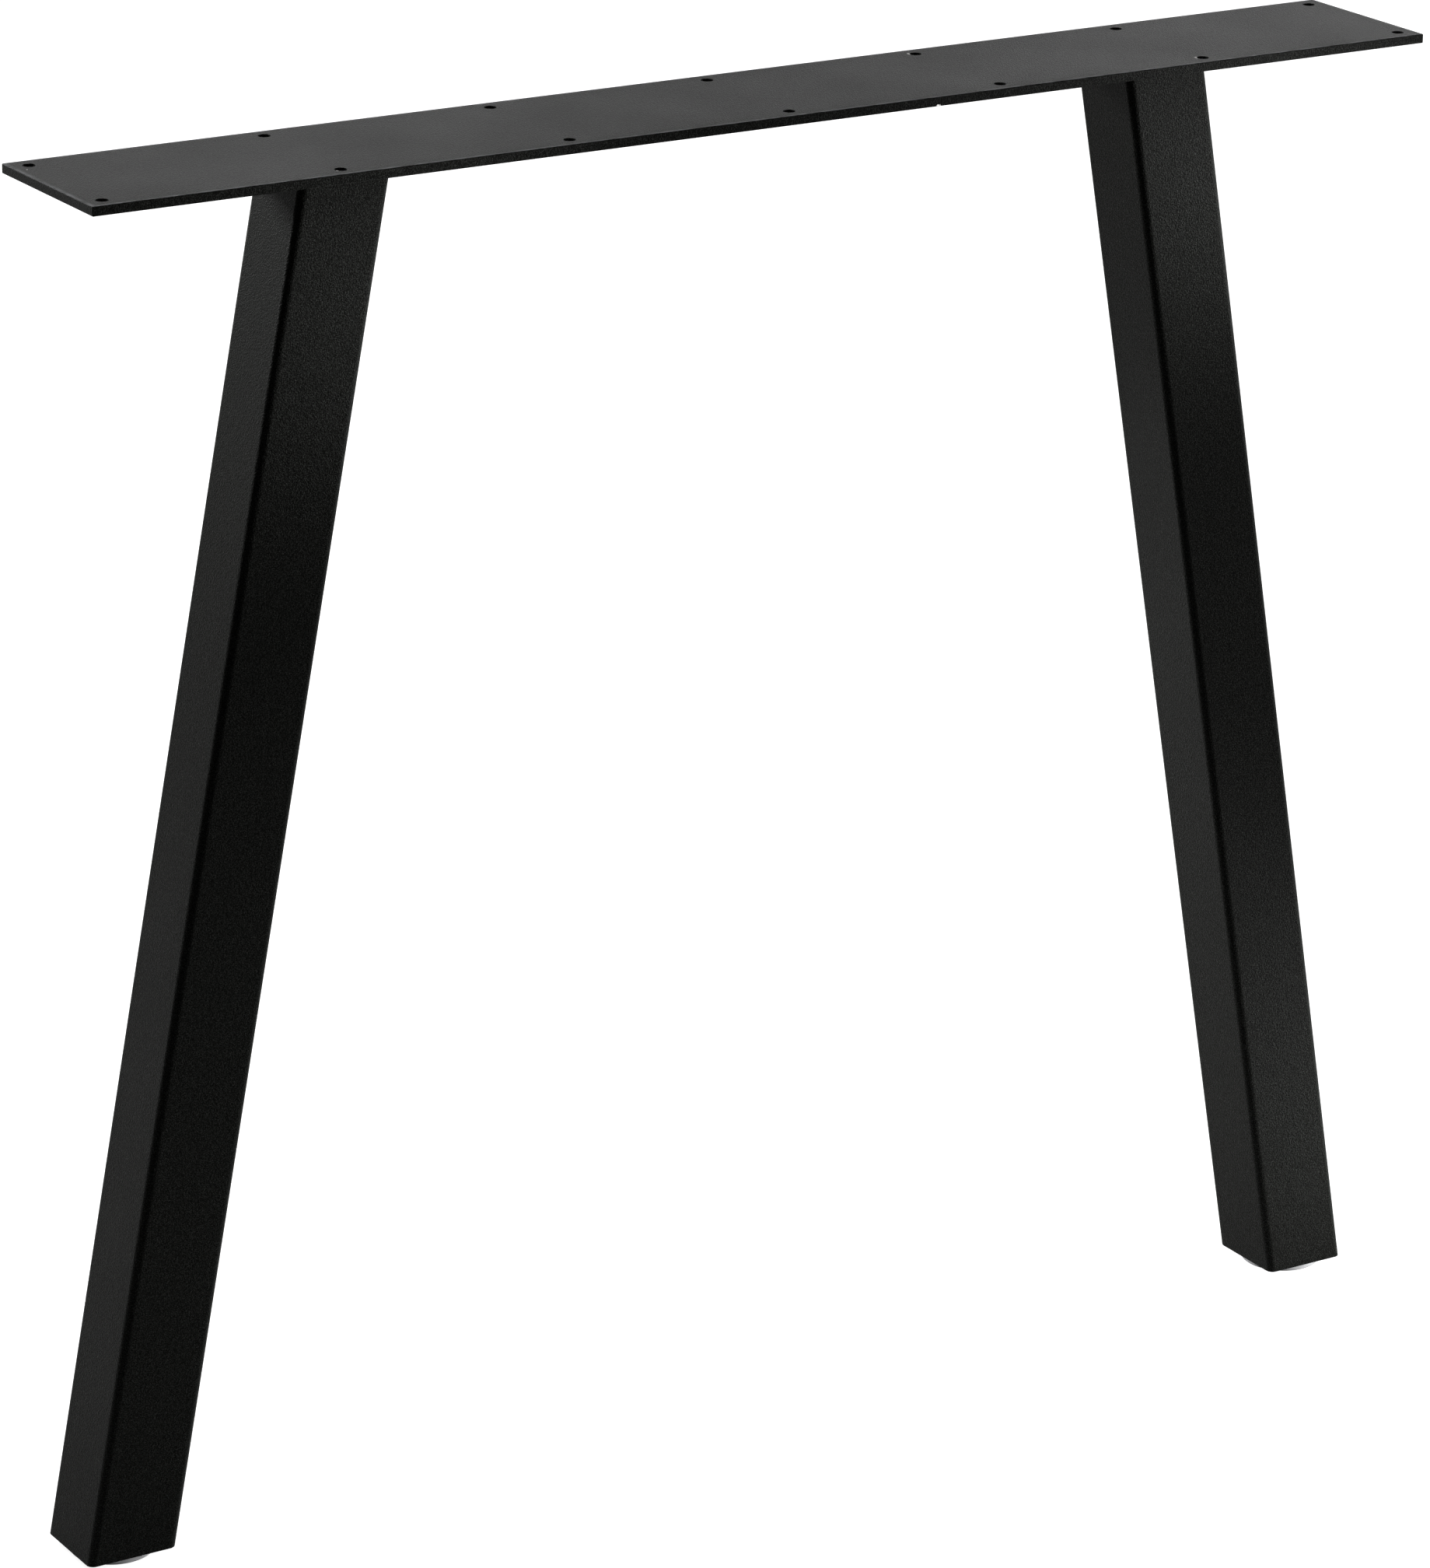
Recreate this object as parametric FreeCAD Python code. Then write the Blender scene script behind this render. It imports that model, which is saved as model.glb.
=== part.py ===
import FreeCAD, Part
import math
import os

# Table leg frame: a drilled flat plate carried by two square tubes that lean outward.
# Millimetres. X runs along the plate, Y across it, Z up. The origin is on the floor, in the middle.

# Mounting plate
PLATE_LENGTH = 800.0
PLATE_WIDTH = 100.0
PLATE_THICKNESS = 5.0
PLATE_EDGE_RADIUS = 0.5

# Screw holes in the plate
HOLE_DIAMETER = 6.5
HOLES_PER_ROW = 7
HOLE_MARGIN = 10.0

# Square tubes, as rolled: the corners are bent round the wall
TUBE_SIZE = 50.0
TUBE_WALL = 2.0
TUBE_INNER_RADIUS = 2.0

# Stance: height of the steel frame, and the distance between the tubes' outer sides
FRAME_HEIGHT = 730.0
SPAN_UNDER_PLATE = 546.0
SPAN_AT_FOOT = 810.0

# Fillet weld round the top of each tube
WELD_LEG = 4.0
WELD_CROWN = 0.6

# Plate that closes the lower end of each tube
FOOT_PLATE_THICKNESS = 4.0
FOOT_PLATE_CLEARANCE = 0.15

# Glide pressed into the foot plate
GLIDE_DIAMETER = 45.0
GLIDE_HEIGHT = 4.0
GLIDE_FLOOR_CHAMFER = 0.8
GLIDE_TOP_CHAMFER = 0.4
STEM_DIAMETER = 10.0
STEM_STAND_OUT = 7.0
STEM_TIP_CHAMFER = 1.5
STEM_CLEARANCE = 0.1

# Heights above the floor
FOOT_Z = GLIDE_HEIGHT
PLATE_TOP_Z = FOOT_Z + FRAME_HEIGHT
PLATE_UNDERSIDE_Z = PLATE_TOP_Z - PLATE_THICKNESS
TUBE_HEIGHT = PLATE_UNDERSIDE_Z - FOOT_Z

# Lean of the tubes from upright, and the width that a level cut gives them
LEAN = math.atan((SPAN_AT_FOOT - SPAN_UNDER_PLATE) / 2.0 / TUBE_HEIGHT)
LEVEL_CUT_WIDTH = TUBE_SIZE / math.cos(LEAN)
FOOT_CENTRE_X = (SPAN_AT_FOOT - LEVEL_CUT_WIDTH) / 2.0
TUBE_OUTER_RADIUS = TUBE_INNER_RADIUS + TUBE_WALL

SIDES = {"left": -1, "right": 1}


def rounded_square(size, radius):
    """Flat wire of a square with round corners, centred on the origin."""
    half = size / 2.0
    flat = half - radius
    diagonal = flat + radius * math.sqrt(0.5)
    edges = []
    for turn in range(4):
        placement = FreeCAD.Rotation(FreeCAD.Vector(0, 0, 1), 90.0 * turn)
        start = placement.multVec(FreeCAD.Vector(half, -flat, 0))
        end = placement.multVec(FreeCAD.Vector(half, flat, 0))
        middle = placement.multVec(FreeCAD.Vector(diagonal, diagonal, 0))
        after = placement.multVec(FreeCAD.Vector(flat, half, 0))
        edges.append(Part.LineSegment(start, end).toShape())
        edges.append(Part.Arc(end, middle, after).toShape())
    return Part.Wire(edges)


def leaning_bar(side, size, radius):
    """Solid square bar along the leg's axis, longer than the leg at both ends."""
    spare = 2.0 * TUBE_SIZE
    length = TUBE_HEIGHT / math.cos(LEAN)
    bar = Part.Face(rounded_square(size, radius)).extrude(FreeCAD.Vector(0, 0, length + 2.0 * spare))
    bar.translate(FreeCAD.Vector(0, 0, -spare))
    bar.rotate(FreeCAD.Vector(0, 0, 0), FreeCAD.Vector(0, 1, 0), -side * math.degrees(LEAN))
    bar.translate(FreeCAD.Vector(side * FOOT_CENTRE_X, 0, FOOT_Z))
    return bar


def level_slab(low, high):
    """Block between two heights, wider than the whole frame."""
    reach = SPAN_AT_FOOT + PLATE_LENGTH
    slab = Part.makeBox(2.0 * reach, 2.0 * reach, high - low)
    slab.translate(FreeCAD.Vector(-reach, -reach, low))
    return slab


def cut_outline(side, height, grow):
    """Level outline of the leg at a height, grown outward by the given amount."""
    bar = leaning_bar(side, TUBE_SIZE + 2.0 * grow, TUBE_OUTER_RADIUS + grow)
    return bar.slice(FreeCAD.Vector(0, 0, 1), height)[0]


def mounting_plate():
    """Flat bar with two rows of screw holes."""
    plate = Part.makeBox(PLATE_LENGTH, PLATE_WIDTH, PLATE_THICKNESS)
    plate.translate(FreeCAD.Vector(-PLATE_LENGTH / 2.0, -PLATE_WIDTH / 2.0, PLATE_UNDERSIDE_Z))
    plate = plate.makeFillet(PLATE_EDGE_RADIUS, plate.Edges)
    first_x = -PLATE_LENGTH / 2.0 + HOLE_MARGIN
    pitch = (PLATE_LENGTH - 2.0 * HOLE_MARGIN) / (HOLES_PER_ROW - 1)
    row_y = PLATE_WIDTH / 2.0 - HOLE_MARGIN
    drills = []
    for row in (-1, 1):
        for column in range(HOLES_PER_ROW):
            foot = FreeCAD.Vector(first_x + column * pitch, row * row_y, PLATE_UNDERSIDE_Z - 1.0)
            drills.append(Part.makeCylinder(HOLE_DIAMETER / 2.0, PLATE_THICKNESS + 2.0, foot))
    return plate.cut(drills)


def leg_tube(side):
    """Square tube, cut level under the plate and at the foot."""
    outside = leaning_bar(side, TUBE_SIZE, TUBE_OUTER_RADIUS)
    inside = leaning_bar(side, TUBE_SIZE - 2.0 * TUBE_WALL, TUBE_INNER_RADIUS)
    return outside.cut(inside).common(level_slab(FOOT_Z, PLATE_UNDERSIDE_Z))


def weld(side):
    """Slightly crowned fillet weld between the tube's outside and the plate's underside."""
    half = WELD_LEG / 2.0
    rings = [
        cut_outline(side, PLATE_UNDERSIDE_Z, WELD_LEG),
        cut_outline(side, PLATE_UNDERSIDE_Z - half + WELD_CROWN / 2.0, half + WELD_CROWN),
        cut_outline(side, PLATE_UNDERSIDE_Z - WELD_LEG, 0.0),
    ]
    upper = Part.makeLoft(rings[0:2], True, True)
    lower = Part.makeLoft(rings[1:3], True, True)
    tube = leaning_bar(side, TUBE_SIZE, TUBE_OUTER_RADIUS)
    return upper.fuse(lower).removeSplitter().cut(tube)


def foot_plate(side):
    """Plate inside the tube's lower end, flush with the cut, with a hole for the glide's stem."""
    size = TUBE_SIZE - 2.0 * (TUBE_WALL + FOOT_PLATE_CLEARANCE)
    core = leaning_bar(side, size, TUBE_INNER_RADIUS - FOOT_PLATE_CLEARANCE)
    plate = core.common(level_slab(FOOT_Z, FOOT_Z + FOOT_PLATE_THICKNESS))
    foot = FreeCAD.Vector(side * FOOT_CENTRE_X, 0, FOOT_Z - 1.0)
    hole = Part.makeCylinder(STEM_DIAMETER / 2.0 + STEM_CLEARANCE, FOOT_PLATE_THICKNESS + 2.0, foot)
    return plate.cut(hole)


def glide(side):
    """Low round disc on the floor, with the stem that holds it, turned about one upright axis."""
    radius = GLIDE_DIAMETER / 2.0
    stem = STEM_DIAMETER / 2.0
    top = GLIDE_HEIGHT + FOOT_PLATE_THICKNESS + STEM_STAND_OUT
    outline = Part.makePolygon([
        FreeCAD.Vector(0, 0, 0),
        FreeCAD.Vector(radius - GLIDE_FLOOR_CHAMFER, 0, 0),
        FreeCAD.Vector(radius, 0, GLIDE_FLOOR_CHAMFER),
        FreeCAD.Vector(radius, 0, GLIDE_HEIGHT - GLIDE_TOP_CHAMFER),
        FreeCAD.Vector(radius - GLIDE_TOP_CHAMFER, 0, GLIDE_HEIGHT),
        FreeCAD.Vector(stem, 0, GLIDE_HEIGHT),
        FreeCAD.Vector(stem, 0, top - STEM_TIP_CHAMFER),
        FreeCAD.Vector(stem - STEM_TIP_CHAMFER, 0, top),
        FreeCAD.Vector(0, 0, top),
        FreeCAD.Vector(0, 0, 0),
    ])
    turned = Part.Face(outline).revolve(FreeCAD.Vector(0, 0, 0), FreeCAD.Vector(0, 0, 1), 360.0)
    turned.translate(FreeCAD.Vector(side * FOOT_CENTRE_X, 0, 0))
    return turned


def save(name, shape):
    """One solid to one file, with a line that says what it measures."""
    solid = shape.Solids[0]
    box = solid.BoundBox
    print(f"{name}: {len(shape.Solids)} solid, valid {solid.isValid()}, {solid.Volume / 1000.0:.1f} cm3,"
          f" X {box.XMin:.2f} {box.XMax:.2f} Y {box.YMin:.2f} {box.YMax:.2f} Z {box.ZMin:.2f} {box.ZMax:.2f}")
    solid.exportStep(f"parts/{name}.step")


def main():
    os.makedirs("parts", exist_ok=True)
    save("mounting_plate", mounting_plate())
    for name, side in SIDES.items():
        save(f"leg_tube_{name}", leg_tube(side))
        save(f"weld_{name}", weld(side))
        save(f"foot_plate_{name}", foot_plate(side))
        save(f"glide_{name}", glide(side))


main()
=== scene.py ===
import math

import bmesh
import bpy
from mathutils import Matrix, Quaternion, Vector


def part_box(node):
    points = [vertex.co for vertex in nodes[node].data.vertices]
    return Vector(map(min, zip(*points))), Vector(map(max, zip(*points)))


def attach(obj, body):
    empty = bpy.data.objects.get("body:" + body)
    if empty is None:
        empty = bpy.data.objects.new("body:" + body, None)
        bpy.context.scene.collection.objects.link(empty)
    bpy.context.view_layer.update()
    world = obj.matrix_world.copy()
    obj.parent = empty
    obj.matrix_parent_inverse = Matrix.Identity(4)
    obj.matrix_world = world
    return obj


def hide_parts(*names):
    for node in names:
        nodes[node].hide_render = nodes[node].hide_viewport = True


# Table leg frame in black powder-coated steel, standing on two grey plastic glides.
# Metres, in the frame's own axes: X along the mounting plate, Y across it, Z up, the floor at 0.

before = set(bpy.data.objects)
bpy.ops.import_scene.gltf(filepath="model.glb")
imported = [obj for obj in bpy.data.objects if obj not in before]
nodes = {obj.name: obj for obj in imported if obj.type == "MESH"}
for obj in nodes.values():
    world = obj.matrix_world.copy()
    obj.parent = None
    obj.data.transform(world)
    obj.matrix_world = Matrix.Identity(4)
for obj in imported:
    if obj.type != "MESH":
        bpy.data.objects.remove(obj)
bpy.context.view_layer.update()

SIDES = {"left": -1, "right": 1}

# Sizes taken over from the steel frame
PLATE_LOW, PLATE_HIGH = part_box("mounting_plate")
PLATE_UNDERSIDE = PLATE_LOW.z
GLIDE_LOW, GLIDE_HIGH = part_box("glide_right")
FOOT_X = (GLIDE_LOW.x + GLIDE_HIGH.x) / 2.0
GLIDE_RADIUS = (GLIDE_HIGH.x - GLIDE_LOW.x) / 2.0
GLIDE_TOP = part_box("leg_tube_right")[0].z
STEM_TOP = GLIDE_HIGH.z
STEM_RADIUS = 0.005
TUBE_TOP_X = 0.24759
TUBE_TOP_LENGTH = 0.05082
TUBE_WIDTH = 0.05
TUBE_CORNER = 0.004

# Mounting plate: two rows of screw holes, with edges and rims that the coat rounds
PLATE_ROUNDING = 0.0005
HOLE_RADIUS = 0.00325
HOLE_RIM = 0.00015
HOLE_MARGIN = 0.010
HOLE_PITCH = 0.130
HOLES_PER_ROW = 7
# Share of its radius that a rounding has dropped where it has turned half way
HALF_WAY_DROP = 0.293

# Weld bead: its ripples swell and shrink in turn, and their middle runs ahead
BEAD_LEG = 0.004
BEAD_SINK = 0.0008
BEAD_CROWN = 0.36
RIPPLES = 93
RIPPLE_PITCH = 0.0021
RIPPLE_SWELL = (1.05, 1.02, 0.98, 0.952)
RIPPLE_LEAD = 0.0007
RIPPLE_LEAD_REACH = 0.0028

# Glide
GLIDE_FLOOR_ROUNDING = 0.0010
GLIDE_TOP_ROUNDING = 0.0005
STEM_TIP_ROUNDING = 0.0015
GATE_MARK_RADIUS = 0.0030
GATE_MARK_EDGE = 0.0004
GATE_MARK_DEPTH = 0.0003

# Rounding of the cut edges of the tubes and foot plates
CUT_EDGE_ROUNDING = 0.0003

# Colours
COAT_BLACK = (0.0034, 0.0037, 0.0032)
COAT_SPECK = (0.0260, 0.0270, 0.0250)
# Pale colour of the painted highlight along the plate's upper edges
COAT_EDGE_HIGHLIGHT = (0.13, 0.135, 0.14)
# Colour of the chips of steel, also used for the painted glints at two holes
STEEL_AND_GLINT = (0.66, 0.65, 0.63)
PLASTIC_DARK = (0.36, 0.36, 0.37)
PLASTIC_PALE = (0.50, 0.50, 0.51)
PLASTIC_SCUFFED = (0.20, 0.19, 0.18)

# Places on the plate with a pale patch, each with its half size: chips where the coat is off and the steel
# shows, and painted glints at the rims of two holes
BARE_SPOTS_AND_GLINTS = (
    ((0.0850, -0.0500, 0.7292), (0.0014, 0.0008, 0.0008)),
    # Painted glints: pale patches at the rims of two holes stand in for the lamps' reflections on the hole
    # walls
    ((0.1271, 0.0412, 0.7332), (0.0012, 0.0026, 0.0016)),
    ((0.2571, -0.0390, 0.7332), (0.0012, 0.0026, 0.0016)),
    ((-0.2629, -0.0420, 0.7340), (0.0006, 0.0006, 0.0006)),
    ((-0.3948, 0.0323, 0.7340), (0.0004, 0.0004, 0.0004)),
)
# Width of the painted highlight along the plate's upper edges
EDGE_HIGHLIGHT_WIDTH = 0.0022

# Camera, at the photograph's angle
CAMERA_PLACE = Vector((-1.68649, -2.68229, 1.46748))
CAMERA_AIM = Vector((-0.0140, 0.0, 0.3602))
CAMERA_ROLL = 0.8055
CAMERA_LENS = 143.95

FLOOR_RADIUS = 11.0
FLOOR_LEVEL = -0.0002


def select_nothing():
    bpy.ops.object.select_all(action="DESELECT")


def select_points(test):
    """In edit mode, selects the points that pass the test and whatever lies between them."""
    mesh = bmesh.from_edit_mesh(bpy.context.edit_object.data)
    for face in mesh.faces:
        face.select_set(False)
    for edge in mesh.edges:
        edge.select_set(False)
    for point in mesh.verts:
        point.select_set(test(point.co))
    mesh.select_flush(True)
    bmesh.update_edit_mesh(bpy.context.edit_object.data)


# Camera
bpy.ops.object.camera_add(location=CAMERA_PLACE)
camera = bpy.context.object
camera.name = "camera"
look = (CAMERA_AIM - CAMERA_PLACE).to_track_quat("-Z", "Y")
roll = Quaternion((0.0, 0.0, 1.0), math.radians(CAMERA_ROLL))
camera.rotation_euler = (look @ roll).to_euler()
camera.data.lens = CAMERA_LENS
camera.data.sensor_width = 36.0
camera.data.clip_end = 200.0
bpy.context.scene.camera = camera
bpy.context.scene.view_settings.view_transform = "Standard"


def fine_grain_group():
    """The coat's fine grain: small raised grains, paler specks, and slow patches where it lies thicker."""
    group = bpy.data.node_groups.new("Fine grain", "ShaderNodeTree")
    face = group.interface
    face.new_socket("Place", in_out="INPUT", socket_type="NodeSocketVector")
    face.new_socket("Grains per metre", in_out="INPUT", socket_type="NodeSocketFloat")
    face.new_socket("Patches per metre", in_out="INPUT", socket_type="NodeSocketFloat")
    face.new_socket("Grain", in_out="OUTPUT", socket_type="NodeSocketFloat")
    face.new_socket("Speck", in_out="OUTPUT", socket_type="NodeSocketFloat")
    face.new_socket("Patch", in_out="OUTPUT", socket_type="NodeSocketFloat")
    add = group.nodes.new
    link = group.links.new
    inside = add("NodeGroupInput")
    outside = add("NodeGroupOutput")

    lumps = add("ShaderNodeTexNoise")
    lumps.inputs["Detail"].default_value = 0.0
    link(inside.outputs["Place"], lumps.inputs["Vector"])
    link(inside.outputs["Grains per metre"], lumps.inputs["Scale"])

    spread = add("ShaderNodeMapRange")
    spread.inputs["From Min"].default_value = 0.3
    spread.inputs["From Max"].default_value = 0.7
    link(lumps.outputs["Fac"], spread.inputs["Value"])
    link(spread.outputs["Result"], outside.inputs["Grain"])

    finer = add("ShaderNodeMath")
    finer.operation = "MULTIPLY"
    finer.inputs[1].default_value = 1.7
    link(inside.outputs["Grains per metre"], finer.inputs[0])
    specks = add("ShaderNodeTexNoise")
    specks.inputs["Detail"].default_value = 0.0
    link(inside.outputs["Place"], specks.inputs["Vector"])
    link(finer.outputs["Value"], specks.inputs["Scale"])
    palest = add("ShaderNodeMapRange")
    palest.inputs["From Min"].default_value = 0.45
    palest.inputs["From Max"].default_value = 0.8
    link(specks.outputs["Fac"], palest.inputs["Value"])
    link(palest.outputs["Result"], outside.inputs["Speck"])

    clouds = add("ShaderNodeTexNoise")
    clouds.inputs["Detail"].default_value = 3.0
    clouds.inputs["Roughness"].default_value = 0.5
    link(inside.outputs["Place"], clouds.inputs["Vector"])
    link(inside.outputs["Patches per metre"], clouds.inputs["Scale"])
    link(clouds.outputs["Fac"], outside.inputs["Patch"])
    return group


def bare_spot_or_glint_group():
    """A small ragged pale place: a chip where the coat is off and the steel shows, or a painted glint."""
    group = bpy.data.node_groups.new("Bare spot or painted glint", "ShaderNodeTree")
    face = group.interface
    face.new_socket("Place", in_out="INPUT", socket_type="NodeSocketVector")
    face.new_socket("Middle", in_out="INPUT", socket_type="NodeSocketVector")
    face.new_socket("Half size", in_out="INPUT", socket_type="NodeSocketVector")
    face.new_socket("Mask", in_out="OUTPUT", socket_type="NodeSocketFloat")
    add = group.nodes.new
    link = group.links.new
    inside = add("NodeGroupInput")
    outside = add("NodeGroupOutput")

    away = add("ShaderNodeVectorMath")
    away.operation = "SUBTRACT"
    link(inside.outputs["Place"], away.inputs[0])
    link(inside.outputs["Middle"], away.inputs[1])
    scaled = add("ShaderNodeVectorMath")
    scaled.operation = "DIVIDE"
    link(away.outputs["Vector"], scaled.inputs[0])
    link(inside.outputs["Half size"], scaled.inputs[1])
    reach = add("ShaderNodeVectorMath")
    reach.operation = "LENGTH"
    link(scaled.outputs["Vector"], reach.inputs[0])

    ragged = add("ShaderNodeTexNoise")
    ragged.inputs["Scale"].default_value = 2500.0
    link(inside.outputs["Place"], ragged.inputs["Vector"])
    rim = add("ShaderNodeMath")
    rim.operation = "ADD"
    link(reach.outputs["Value"], rim.inputs[0])
    link(ragged.outputs["Fac"], rim.inputs[1])

    mask = add("ShaderNodeMapRange")
    mask.inputs["From Min"].default_value = 1.6
    mask.inputs["From Max"].default_value = 1.4
    link(rim.outputs["Value"], mask.inputs["Value"])
    link(mask.outputs["Result"], outside.inputs["Mask"])
    return group


def edge_highlight_group():
    """Painted highlight along the upper edges of a flat bar, a pale line that stands in for their sheen: 1
    at the edge, 0 away from it.
    """
    group = bpy.data.node_groups.new("Painted edge highlight", "ShaderNodeTree")
    face = group.interface
    face.new_socket("Place", in_out="INPUT", socket_type="NodeSocketVector")
    face.new_socket("Middle of top", in_out="INPUT", socket_type="NodeSocketVector")
    face.new_socket("Half size", in_out="INPUT", socket_type="NodeSocketVector")
    face.new_socket("Width", in_out="INPUT", socket_type="NodeSocketFloat")
    face.new_socket("Mask", in_out="OUTPUT", socket_type="NodeSocketFloat")
    add = group.nodes.new
    link = group.links.new
    inside = add("NodeGroupInput")
    outside = add("NodeGroupOutput")

    away = add("ShaderNodeVectorMath")
    away.operation = "SUBTRACT"
    link(inside.outputs["Place"], away.inputs[0])
    link(inside.outputs["Middle of top"], away.inputs[1])
    spread = add("ShaderNodeVectorMath")
    spread.operation = "ABSOLUTE"
    link(away.outputs["Vector"], spread.inputs[0])
    room = add("ShaderNodeVectorMath")
    room.operation = "SUBTRACT"
    link(inside.outputs["Half size"], room.inputs[0])
    link(spread.outputs["Vector"], room.inputs[1])
    parts = add("ShaderNodeSeparateXYZ")
    link(room.outputs["Vector"], parts.inputs["Vector"])
    side = add("ShaderNodeMath")
    side.operation = "MINIMUM"
    link(parts.outputs["X"], side.inputs[0])
    link(parts.outputs["Y"], side.inputs[1])
    depth = add("ShaderNodeSeparateXYZ")
    link(spread.outputs["Vector"], depth.inputs["Vector"])
    # The line ends where the edge begins to turn down
    steep = add("ShaderNodeMath")
    steep.operation = "MULTIPLY"
    steep.inputs[1].default_value = 12.0
    link(depth.outputs["Z"], steep.inputs[0])
    nearest = add("ShaderNodeMath")
    nearest.operation = "MAXIMUM"
    link(side.outputs["Value"], nearest.inputs[0])
    link(steep.outputs["Value"], nearest.inputs[1])

    wander = add("ShaderNodeTexNoise")
    wander.inputs["Scale"].default_value = 60.0
    wander.inputs["Detail"].default_value = 4.0
    link(inside.outputs["Place"], wander.inputs["Vector"])
    share = add("ShaderNodeMapRange")
    share.inputs["From Min"].default_value = 0.35
    share.inputs["From Max"].default_value = 0.6
    link(wander.outputs["Fac"], share.inputs["Value"])
    line = add("ShaderNodeMapRange")
    link(nearest.outputs["Value"], line.inputs["Value"])
    link(inside.outputs["Width"], line.inputs["From Min"])
    line.inputs["From Max"].default_value = 0.0
    mask = add("ShaderNodeMath")
    mask.operation = "MULTIPLY"
    link(line.outputs["Result"], mask.inputs[0])
    link(share.outputs["Result"], mask.inputs[1])
    link(mask.outputs["Value"], outside.inputs["Mask"])
    return group


FINE_GRAIN = fine_grain_group()
BARE_SPOT_OR_GLINT = bare_spot_or_glint_group()
EDGE_HIGHLIGHT = edge_highlight_group()


def mix_colours(material, factor, first, second):
    """Mix of two colours, each a plain colour or the output of another node."""
    tree = material.node_tree
    mix = tree.nodes.new("ShaderNodeMix")
    mix.data_type = "RGBA"
    tree.links.new(factor, mix.inputs["Factor"])
    for socket, colour in (("A", first), ("B", second)):
        if isinstance(colour, tuple):
            mix.inputs[socket].default_value = (*colour, 1.0)
        else:
            tree.links.new(colour, mix.inputs[socket])
    return mix.outputs["Result"]


def powder_coat(name):
    """Satin black powder coat with a fine grain. Returns the material, its place, colour and roughness."""
    material = bpy.data.materials.new(name)
    material.use_nodes = True
    tree = material.node_tree
    add = tree.nodes.new
    link = tree.links.new
    surface = tree.nodes["Principled BSDF"]
    place = add("ShaderNodeTexCoord")

    grain = add("ShaderNodeGroup")
    grain.node_tree = FINE_GRAIN
    grain.inputs["Grains per metre"].default_value = 1300.0
    grain.inputs["Patches per metre"].default_value = 14.0
    link(place.outputs["Object"], grain.inputs["Place"])

    colour = mix_colours(material, grain.outputs["Speck"], COAT_BLACK, COAT_SPECK)
    link(colour, surface.inputs["Base Color"])

    # Satin, and matt where the surface turns away from the eye
    satin = add("ShaderNodeMapRange")
    satin.inputs["To Min"].default_value = 0.55
    satin.inputs["To Max"].default_value = 0.45
    link(grain.outputs["Patch"], satin.inputs["Value"])
    turned = add("ShaderNodeLayerWeight")
    turned.inputs["Blend"].default_value = 0.5
    rough = add("ShaderNodeMapRange")
    rough.inputs["From Min"].default_value = 0.84
    rough.inputs["From Max"].default_value = 0.95
    rough.inputs["To Max"].default_value = 1.0
    link(turned.outputs["Facing"], rough.inputs["Value"])
    link(satin.outputs["Result"], rough.inputs["To Min"])
    link(rough.outputs["Result"], surface.inputs["Roughness"])

    bump = add("ShaderNodeBump")
    bump.inputs["Strength"].default_value = 1.0
    bump.inputs["Distance"].default_value = 0.00011
    link(grain.outputs["Grain"], bump.inputs["Height"])
    link(bump.outputs["Normal"], surface.inputs["Normal"])

    surface.inputs["Specular IOR Level"].default_value = 0.025
    surface.inputs["Specular Tint"].default_value = (0.02, 0.02, 0.02, 1.0)
    return material, place.outputs["Object"], colour, rough.outputs["Result"]


def plate_coat_with_chips_and_highlights():
    """The coat of the mounting plate: a painted highlight along its upper edges, a few chips where the
    coat is off and the steel shows, and painted glints at two holes.
    """
    material, place, colour, rough = powder_coat("plate_powder_coat")
    tree = material.node_tree
    add = tree.nodes.new
    link = tree.links.new
    surface = tree.nodes["Principled BSDF"]

    edge = add("ShaderNodeGroup")
    edge.node_tree = EDGE_HIGHLIGHT
    edge.inputs["Middle of top"].default_value = (0.0, 0.0, PLATE_HIGH.z)
    half_length = PLATE_HIGH.x - PLATE_ROUNDING
    half_width = PLATE_HIGH.y - PLATE_ROUNDING
    edge.inputs["Half size"].default_value = (half_length, half_width, 0.0)
    edge.inputs["Width"].default_value = EDGE_HIGHLIGHT_WIDTH
    link(place, edge.inputs["Place"])
    # Painted highlight: the plate's upper edges are paler, standing in for their sheen
    colour = mix_colours(material, edge.outputs["Mask"], colour, COAT_EDGE_HIGHLIGHT)

    chips_and_glints = None
    for middle, half_size in BARE_SPOTS_AND_GLINTS:
        spot = add("ShaderNodeGroup")
        spot.node_tree = BARE_SPOT_OR_GLINT
        spot.inputs["Middle"].default_value = middle
        spot.inputs["Half size"].default_value = half_size
        link(place, spot.inputs["Place"])
        if chips_and_glints is None:
            chips_and_glints = spot.outputs["Mask"]
        else:
            either = add("ShaderNodeMath")
            either.operation = "MAXIMUM"
            link(chips_and_glints, either.inputs[0])
            link(spot.outputs["Mask"], either.inputs[1])
            chips_and_glints = either.outputs["Value"]

    # Steel colour at the chips, and painted glints at two holes
    link(mix_colours(material, chips_and_glints, colour, STEEL_AND_GLINT), surface.inputs["Base Color"])
    # The chips and the painted glints are metal only in part, so that their pale colour also shows in the
    # lamps' light
    metal = add("ShaderNodeMapRange")
    metal.inputs["To Max"].default_value = 0.5
    link(chips_and_glints, metal.inputs["Value"])
    link(metal.outputs["Result"], surface.inputs["Metallic"])
    steel_rough = add("ShaderNodeMapRange")
    steel_rough.inputs["To Max"].default_value = 0.3
    link(chips_and_glints, steel_rough.inputs["Value"])
    link(rough, steel_rough.inputs["To Min"])
    link(steel_rough.outputs["Result"], surface.inputs["Roughness"])
    return material


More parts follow.
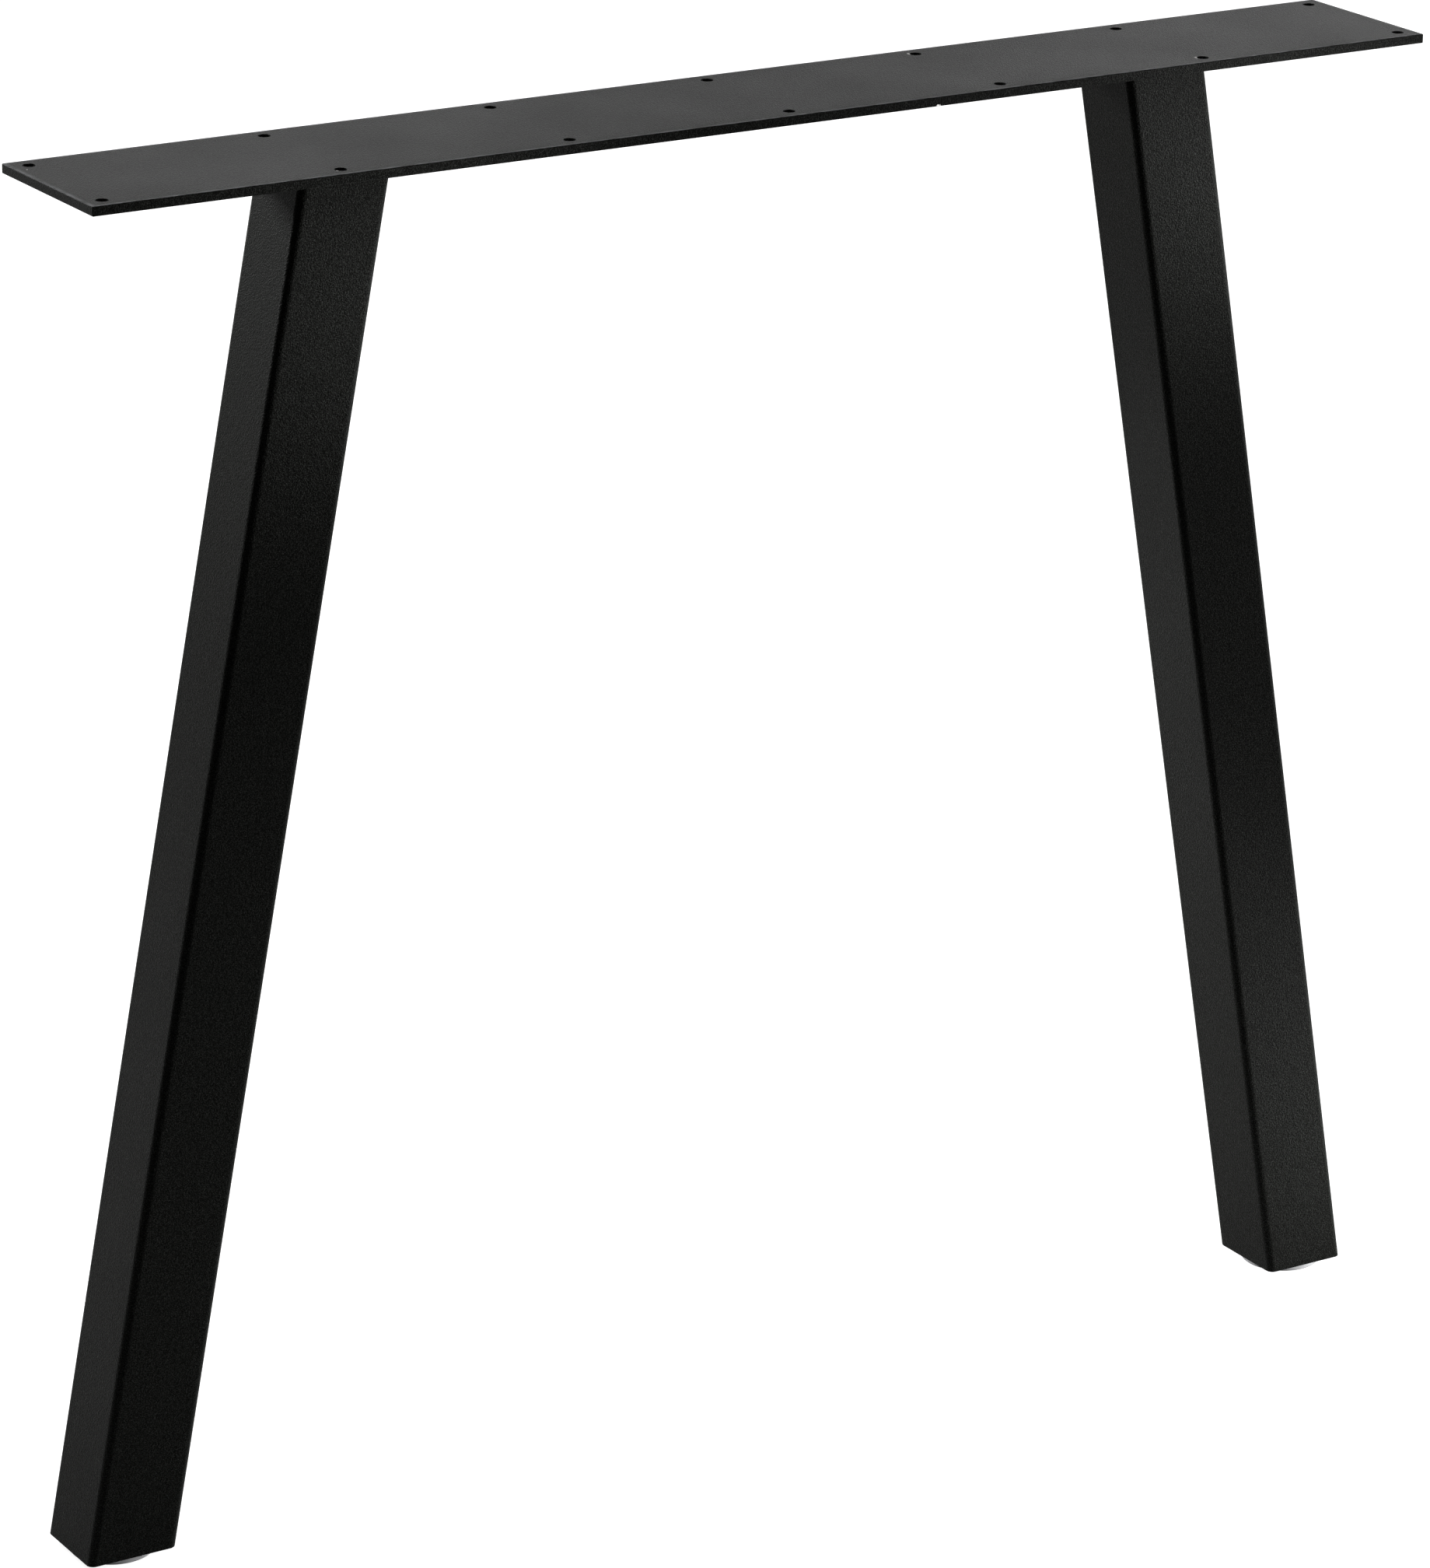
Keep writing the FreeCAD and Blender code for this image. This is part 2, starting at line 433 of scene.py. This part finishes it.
def glide_plastic():
    """Light grey moulded plastic: a little mottled, finely matt, and dulled where it meets the floor."""
    material = bpy.data.materials.new("grey_glide_plastic")
    material.use_nodes = True
    tree = material.node_tree
    add = tree.nodes.new
    link = tree.links.new
    surface = tree.nodes["Principled BSDF"]
    place = add("ShaderNodeTexCoord")

    grain = add("ShaderNodeGroup")
    grain.node_tree = FINE_GRAIN
    grain.inputs["Grains per metre"].default_value = 2600.0
    grain.inputs["Patches per metre"].default_value = 110.0
    link(place.outputs["Object"], grain.inputs["Place"])
    mottled = mix_colours(material, grain.outputs["Patch"], PLASTIC_DARK, PLASTIC_PALE)

    # Fine streaks where the underside slides on the floor
    stretch = add("ShaderNodeMapping")
    stretch.inputs["Rotation"].default_value = (0.0, 0.0, math.radians(28.0))
    stretch.inputs["Scale"].default_value = (60.0, 1100.0, 60.0)
    link(place.outputs["Object"], stretch.inputs["Vector"])
    streaks = add("ShaderNodeTexNoise")
    streaks.inputs["Scale"].default_value = 1.0
    streaks.inputs["Detail"].default_value = 3.0
    link(stretch.outputs["Vector"], streaks.inputs["Vector"])
    height = add("ShaderNodeSeparateXYZ")
    link(place.outputs["Object"], height.inputs["Vector"])
    low = add("ShaderNodeMapRange")
    low.inputs["From Min"].default_value = 0.0011
    low.inputs["From Max"].default_value = 0.0001
    link(height.outputs["Z"], low.inputs["Value"])
    scuffed = add("ShaderNodeMath")
    scuffed.operation = "MULTIPLY"
    link(low.outputs["Result"], scuffed.inputs[0])
    link(streaks.outputs["Fac"], scuffed.inputs[1])

    colour = mix_colours(material, scuffed.outputs["Value"], mottled, PLASTIC_SCUFFED)
    link(colour, surface.inputs["Base Color"])

    rough = add("ShaderNodeMapRange")
    rough.inputs["To Min"].default_value = 0.34
    rough.inputs["To Max"].default_value = 0.75
    link(scuffed.outputs["Value"], rough.inputs["Value"])
    link(rough.outputs["Result"], surface.inputs["Roughness"])
    bump = add("ShaderNodeBump")
    bump.inputs["Strength"].default_value = 0.35
    bump.inputs["Distance"].default_value = 0.00004
    link(grain.outputs["Grain"], bump.inputs["Height"])
    link(bump.outputs["Normal"], surface.inputs["Normal"])
    return material


COAT = powder_coat("black_powder_coat")[0]
PLATE_COAT = plate_coat_with_chips_and_highlights()
PLASTIC = glide_plastic()
for name, node in nodes.items():
    for slot in node.material_slots:
        slot.material = PLASTIC if name.startswith("glide") else COAT


def finished(piece, name):
    """Settles a new piece: its place goes into its mesh, and only its round parts are shaded smooth."""
    piece.name = name
    bpy.ops.object.transform_apply(location=True, rotation=True, scale=True)
    bpy.ops.object.shade_smooth_by_angle(angle=math.radians(50.0))
    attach(piece, "root")


def keep_flat(piece):
    """Keeps the shading of broad flat faces flat beside narrow roundings."""
    piece.modifiers.new("Flat faces stay flat", "WEIGHTED_NORMAL").keep_sharp = True
    bpy.ops.object.modifier_apply(modifier="Flat faces stay flat")


def repeated(piece, name, count, step):
    """Array modifier that repeats a piece at a fixed step."""
    row = piece.modifiers.new(name, "ARRAY")
    row.count = count
    row.use_relative_offset = False
    row.use_constant_offset = True
    row.constant_offset_displace = step
    return row


def weld_bead(name, side):
    """Fillet bead round the top of a tube: one ripple is modelled and repeated along the joint."""
    # The joint's line: the tube's outline under the plate
    select_nothing()
    bpy.ops.mesh.primitive_plane_add(size=1.0, location=(side * TUBE_TOP_X, 0.0, PLATE_UNDERSIDE))
    joint = bpy.context.object
    joint.scale = (TUBE_TOP_LENGTH, TUBE_WIDTH, 1.0)
    bpy.ops.object.transform_apply(location=True, rotation=True, scale=True)
    bpy.ops.object.mode_set(mode="EDIT")
    bpy.ops.mesh.select_all(action="SELECT")
    bpy.ops.mesh.bevel(offset=TUBE_CORNER, segments=8, affect="VERTICES")
    bpy.ops.mesh.select_all(action="SELECT")
    bpy.ops.mesh.delete(type="ONLY_FACE")
    bpy.ops.object.mode_set(mode="OBJECT")
    bpy.ops.object.convert(target="CURVE")
    joint = bpy.context.object
    bpy.ops.object.mode_set(mode="EDIT")
    bpy.ops.curve.select_all(action="SELECT")
    bpy.ops.curve.switch_direction()
    bpy.ops.object.mode_set(mode="OBJECT")
    joint.data.twist_mode = "Z_UP"
    joint.data.use_stretch = True
    joint.data.use_deform_bounds = True

    # The bead's section: a square whose outer corner is cut to a crowned slope
    select_nothing()
    reach = BEAD_LEG + BEAD_SINK
    middle = (BEAD_LEG - BEAD_SINK) / 2.0
    bpy.ops.mesh.primitive_plane_add(
        size=reach,
        rotation=(0.0, math.radians(90.0), 0.0),
        location=(0.0, middle, -middle),
    )
    bead = bpy.context.object
    bpy.ops.object.transform_apply(location=True, rotation=True, scale=True)
    bpy.ops.object.mode_set(mode="EDIT")
    select_points(lambda p: p.y > 0.001 and p.z < -0.001)
    bpy.ops.mesh.bevel(offset=BEAD_LEG, segments=8, profile=BEAD_CROWN, affect="VERTICES")
    bpy.ops.mesh.select_all(action="SELECT")
    bpy.ops.mesh.delete(type="ONLY_FACE")
    # The middle of the slope runs ahead, so the ripples are crescents
    select_points(lambda p: abs(p.y + p.z) < 0.0002 and p.y > 0.001)
    bpy.ops.transform.translate(
        value=(RIPPLE_LEAD, 0.0, 0.0),
        use_proportional_edit=True,
        proportional_edit_falloff="SMOOTH",
        proportional_size=RIPPLE_LEAD_REACH,
    )
    bpy.ops.mesh.select_all(action="SELECT")
    step = RIPPLE_PITCH / len(RIPPLE_SWELL)
    for swell in RIPPLE_SWELL:
        bpy.ops.mesh.extrude_edges_move(TRANSFORM_OT_translate={"value": (step, 0.0, 0.0)})
        bpy.ops.transform.resize(value=(1.0, swell, swell), center_override=(0.0, 0.0, 0.0))
    bpy.ops.object.mode_set(mode="OBJECT")

    row = repeated(bead, "Row", RIPPLES, (RIPPLE_PITCH, 0.0, 0.0))
    row.use_merge_vertices = True
    row.merge_threshold = 0.00002
    round_tube = bead.modifiers.new("Round the tube", "CURVE")
    round_tube.object = joint
    bpy.ops.object.modifier_apply(modifier="Row")
    bpy.ops.object.modifier_apply(modifier="Round the tube")
    bpy.data.objects.remove(joint)
    bpy.ops.object.mode_set(mode="EDIT")
    bpy.ops.mesh.select_all(action="SELECT")
    bpy.ops.mesh.remove_doubles(threshold=0.00003)
    bpy.ops.mesh.normals_make_consistent(inside=False)
    bpy.ops.object.mode_set(mode="OBJECT")
    finished(bead, name + "_bead")
    bead.data.materials.append(COAT)
    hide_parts(name)


def glide_disc(name, side):
    """Moulded disc with rounded rims, and the stem that holds it in the foot plate."""
    select_nothing()
    bpy.ops.mesh.primitive_cylinder_add(
        vertices=96,
        radius=GLIDE_RADIUS,
        depth=GLIDE_TOP,
        location=(side * FOOT_X, 0.0, GLIDE_TOP / 2.0),
    )
    disc = bpy.context.object
    bpy.ops.object.transform_apply(location=True, rotation=True, scale=True)
    bpy.ops.object.mode_set(mode="EDIT")
    # Stem
    select_points(lambda p: p.z > GLIDE_TOP - 0.0001)
    bpy.ops.mesh.inset(thickness=GLIDE_RADIUS - STEM_RADIUS)
    bpy.ops.mesh.extrude_region_move(TRANSFORM_OT_translate={"value": (0.0, 0.0, STEM_TOP - GLIDE_TOP)})
    bpy.ops.mesh.bevel(offset=STEM_TIP_ROUNDING, segments=3, affect="EDGES")
    # Rims
    select_points(lambda p: abs(p.z - GLIDE_TOP) < 0.0001 and math.hypot(p.x - side * FOOT_X, p.y) > 0.02)
    bpy.ops.mesh.bevel(offset=GLIDE_TOP_ROUNDING, segments=3, affect="EDGES")
    select_points(lambda p: p.z < 0.0001)
    bpy.ops.mesh.bevel(offset=GLIDE_FLOOR_ROUNDING, segments=4, affect="EDGES")
    # Mark left by the mould's gate, in the middle of the underside
    select_points(lambda p: p.z < 0.00001)
    bpy.ops.mesh.inset(thickness=GLIDE_RADIUS - GATE_MARK_RADIUS)
    bpy.ops.mesh.inset(thickness=GATE_MARK_EDGE)
    bpy.ops.transform.translate(value=(0.0, 0.0, GATE_MARK_DEPTH))
    bpy.ops.object.mode_set(mode="OBJECT")
    finished(disc, name + "_disc")
    keep_flat(disc)
    disc.data.materials.append(PLASTIC)
    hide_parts(name)


for side_name, side in SIDES.items():
    weld_bead("weld_" + side_name, side)
    glide_disc("glide_" + side_name, side)


def drill():
    """Cutter for all the screw holes, flared at both faces of the plate where the coat rounds the rims."""
    select_nothing()
    slope = HOLE_RIM * HALF_WAY_DROP
    rest = HOLE_RIM - slope
    outer = HOLE_RADIUS + HOLE_RIM
    inner = HOLE_RADIUS + slope
    straight = PLATE_HIGH.z - PLATE_LOW.z - 2.0 * HOLE_RIM
    over = 0.001
    first = (PLATE_LOW.x + HOLE_MARGIN, PLATE_LOW.y + HOLE_MARGIN, PLATE_HIGH.z + over)
    bpy.ops.mesh.primitive_circle_add(vertices=40, radius=outer, fill_type="NGON", location=first)
    cutter = bpy.context.object
    bpy.ops.object.mode_set(mode="EDIT")
    bpy.ops.mesh.select_all(action="SELECT")
    # Each step down, and how much wider the hole is there than at the step before
    steps = (
        (over, 1.0),
        (slope, inner / outer),
        (rest, HOLE_RADIUS / inner),
        (straight, 1.0),
        (rest, inner / HOLE_RADIUS),
        (slope, outer / inner),
        (over, 1.0),
    )
    for down, grow in steps:
        bpy.ops.mesh.extrude_region_move(TRANSFORM_OT_translate={"value": (0.0, 0.0, -down)})
        bpy.ops.transform.resize(value=(grow, grow, 1.0), center_override=first)
    bpy.ops.mesh.select_all(action="SELECT")
    bpy.ops.mesh.normals_make_consistent(inside=False)
    bpy.ops.object.mode_set(mode="OBJECT")
    row_distance = PLATE_HIGH.y - PLATE_LOW.y - 2.0 * HOLE_MARGIN
    repeated(cutter, "Along the plate", HOLES_PER_ROW, (HOLE_PITCH, 0.0, 0.0))
    repeated(cutter, "Across the plate", 2, (0.0, row_distance, 0.0))
    bpy.ops.object.modifier_apply(modifier="Along the plate")
    bpy.ops.object.modifier_apply(modifier="Across the plate")
    return cutter


def drilled_plate():
    """Flat bar with two rows of screw holes."""
    select_nothing()
    bpy.ops.mesh.primitive_cube_add(size=1.0, location=(PLATE_LOW + PLATE_HIGH) / 2.0)
    plate = bpy.context.object
    plate.scale = PLATE_HIGH - PLATE_LOW
    bpy.ops.object.transform_apply(location=True, rotation=True, scale=True)
    bpy.ops.object.mode_set(mode="EDIT")
    bpy.ops.mesh.select_all(action="SELECT")
    bpy.ops.mesh.bevel(offset=PLATE_ROUNDING, segments=4, affect="EDGES")
    bpy.ops.object.mode_set(mode="OBJECT")
    cutter = drill()
    select_nothing()
    plate.select_set(True)
    bpy.context.view_layer.objects.active = plate
    drilled = plate.modifiers.new("Drilled", "BOOLEAN")
    drilled.operation = "DIFFERENCE"
    drilled.solver = "EXACT"
    drilled.object = cutter
    bpy.ops.object.modifier_apply(modifier="Drilled")
    bpy.data.objects.remove(cutter)
    finished(plate, "drilled_plate")
    keep_flat(plate)
    plate.data.materials.append(PLATE_COAT)
    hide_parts("mounting_plate")


drilled_plate()

# The coat rounds the cut edges of the tubes and foot plates
for name in ("leg_tube_left", "leg_tube_right", "foot_plate_left", "foot_plate_right"):
    joined = nodes[name].modifiers.new("Joined", "WELD")
    joined.merge_threshold = 0.00001
    rounded = nodes[name].modifiers.new("Rounded edges", "BEVEL")
    rounded.width = CUT_EDGE_ROUNDING
    rounded.segments = 2
    rounded.limit_method = "ANGLE"
    rounded.angle_limit = math.radians(60.0)


def lamp(name, place, aim, width, height, power, spread=180.0):
    """Soft rectangular lamp that faces its aim. The spread of its beam is in degrees."""
    direction = Vector(aim) - Vector(place)
    bpy.ops.object.light_add(type="AREA", location=place)
    light = bpy.context.object
    light.name = name
    light.rotation_euler = direction.to_track_quat("-Z", "Y").to_euler()
    light.data.shape = "RECTANGLE"
    light.data.size = width
    light.data.size_y = height
    light.data.energy = power
    light.data.spread = math.radians(spread)
    light.visible_camera = False


# Lights: wide ones for the whole object, and narrow beams for the bright places along the tubes
lamp("back_light", (0.0, 3.0, 1.3), (0.0, 0.0, 0.7), 3.6, 0.8, 34.0)
lamp("back_right_light", (3.4, 3.4, 1.7), (0.0, 0.0, 0.6), 2.0, 1.2, 36.0)
lamp("back_left_light", (-0.9, 1.6, 1.31), (-0.27, 0.0, 0.66), 0.35, 0.35, 32.0)
lamp("near_left_light", (-0.62, 0.85, 1.03), (-0.27, 0.0, 0.66), 0.18, 0.18, 0.55, 45.0)
lamp("left_shin_light", (-0.9, 0.9, 0.10), (-0.36, 0.0, 0.10), 0.15, 0.15, 0.06, 45.0)
lamp("back_middle_light", (-0.1, 0.5, 0.20), (0.33, 0.0, 0.18), 0.12, 0.12, 0.5, 70.0)
lamp("right_light", (3.0, -0.9, 0.9), (0.0, 0.0, 0.37), 1.2, 1.4, 85.0)
lamp("near_top_light", (0.55, -0.22, 0.62), (0.26, -0.02, 0.67), 0.10, 0.10, 0.2, 48.0)
lamp("near_foot_light", (0.70, -0.25, 0.06), (0.38, -0.02, 0.08), 0.12, 0.10, 0.42, 60.0)
lamp("left_top_light", (0.02, -0.22, 0.61), (-0.26, -0.02, 0.67), 0.10, 0.10, 0.16, 48.0)
lamp("left_foot_light", (1.5, -0.9, 0.3), (-0.35, 0.0, 0.18), 0.30, 0.30, 0.4, 24.0)

# World: dim, so that the shaded sides of the coat stay dark
world = bpy.data.worlds.new("studio")
bpy.context.scene.world = world
world.use_nodes = True
background = world.node_tree.nodes["Background"]
background.inputs["Color"].default_value = (0.03, 0.03, 0.03, 1.0)
background.inputs["Strength"].default_value = 1.0


def floor_material():
    """White paper: it looks white to the eye and to a reflection, and still takes a shadow."""
    material = bpy.data.materials.new("white_floor")
    material.use_nodes = True
    tree = material.node_tree
    add = tree.nodes.new
    link = tree.links.new
    tree.nodes.remove(tree.nodes["Principled BSDF"])
    output = tree.nodes["Material Output"]
    paper = add("ShaderNodeBsdfDiffuse")
    paper.inputs["Color"].default_value = (0.5, 0.5, 0.5, 1.0)
    glow = add("ShaderNodeEmission")
    glow.inputs["Strength"].default_value = 0.92
    both = add("ShaderNodeAddShader")
    link(paper.outputs["BSDF"], both.inputs[0])
    link(glow.outputs["Emission"], both.inputs[1])
    path = add("ShaderNodeLightPath")
    seen = add("ShaderNodeMath")
    seen.operation = "MAXIMUM"
    link(path.outputs["Is Camera Ray"], seen.inputs[0])
    link(path.outputs["Is Glossy Ray"], seen.inputs[1])
    shown = add("ShaderNodeMath")
    shown.operation = "MAXIMUM"
    link(seen.outputs["Value"], shown.inputs[0])
    link(path.outputs["Is Transmission Ray"], shown.inputs[1])
    choose = add("ShaderNodeMixShader")
    link(shown.outputs["Value"], choose.inputs["Fac"])
    link(paper.outputs["BSDF"], choose.inputs[1])
    link(both.outputs["Shader"], choose.inputs[2])
    # From under the floor the object shows
    nothing = add("ShaderNodeBsdfTransparent")
    back = add("ShaderNodeNewGeometry")
    one_sided = add("ShaderNodeMixShader")
    link(back.outputs["Backfacing"], one_sided.inputs["Fac"])
    link(choose.outputs["Shader"], one_sided.inputs[1])
    link(nothing.outputs["BSDF"], one_sided.inputs[2])
    link(one_sided.outputs["Shader"], output.inputs["Surface"])
    return material


# Floor: a wide round sheet just under the glides, whose rim curves up all round
select_nothing()
bpy.ops.mesh.primitive_circle_add(
    vertices=96,
    radius=FLOOR_RADIUS,
    fill_type="NGON",
    location=(0.0, 0.0, FLOOR_LEVEL),
)
floor = bpy.context.object
floor.name = "floor"
bpy.ops.object.mode_set(mode="EDIT")
bpy.ops.mesh.select_all(action="SELECT")
bpy.ops.mesh.region_to_loop()
for run, rise in ((1.0, 0.1), (0.9, 0.35), (0.7, 0.6), (0.4, 0.9), (0.1, 1.2)):
    bpy.ops.mesh.extrude_edges_move(TRANSFORM_OT_translate={"value": (0.0, 0.0, rise)})
    mesh = bmesh.from_edit_mesh(floor.data)
    reach = max(math.hypot(p.co.x, p.co.y) for p in mesh.verts if p.select)
    grow = (reach + run) / reach
    bpy.ops.transform.resize(value=(grow, grow, 1.0), center_override=(0.0, 0.0, 0.0))
bpy.ops.object.mode_set(mode="OBJECT")
bpy.ops.object.shade_smooth_by_angle(angle=math.radians(40.0))
floor.data.materials.append(floor_material())
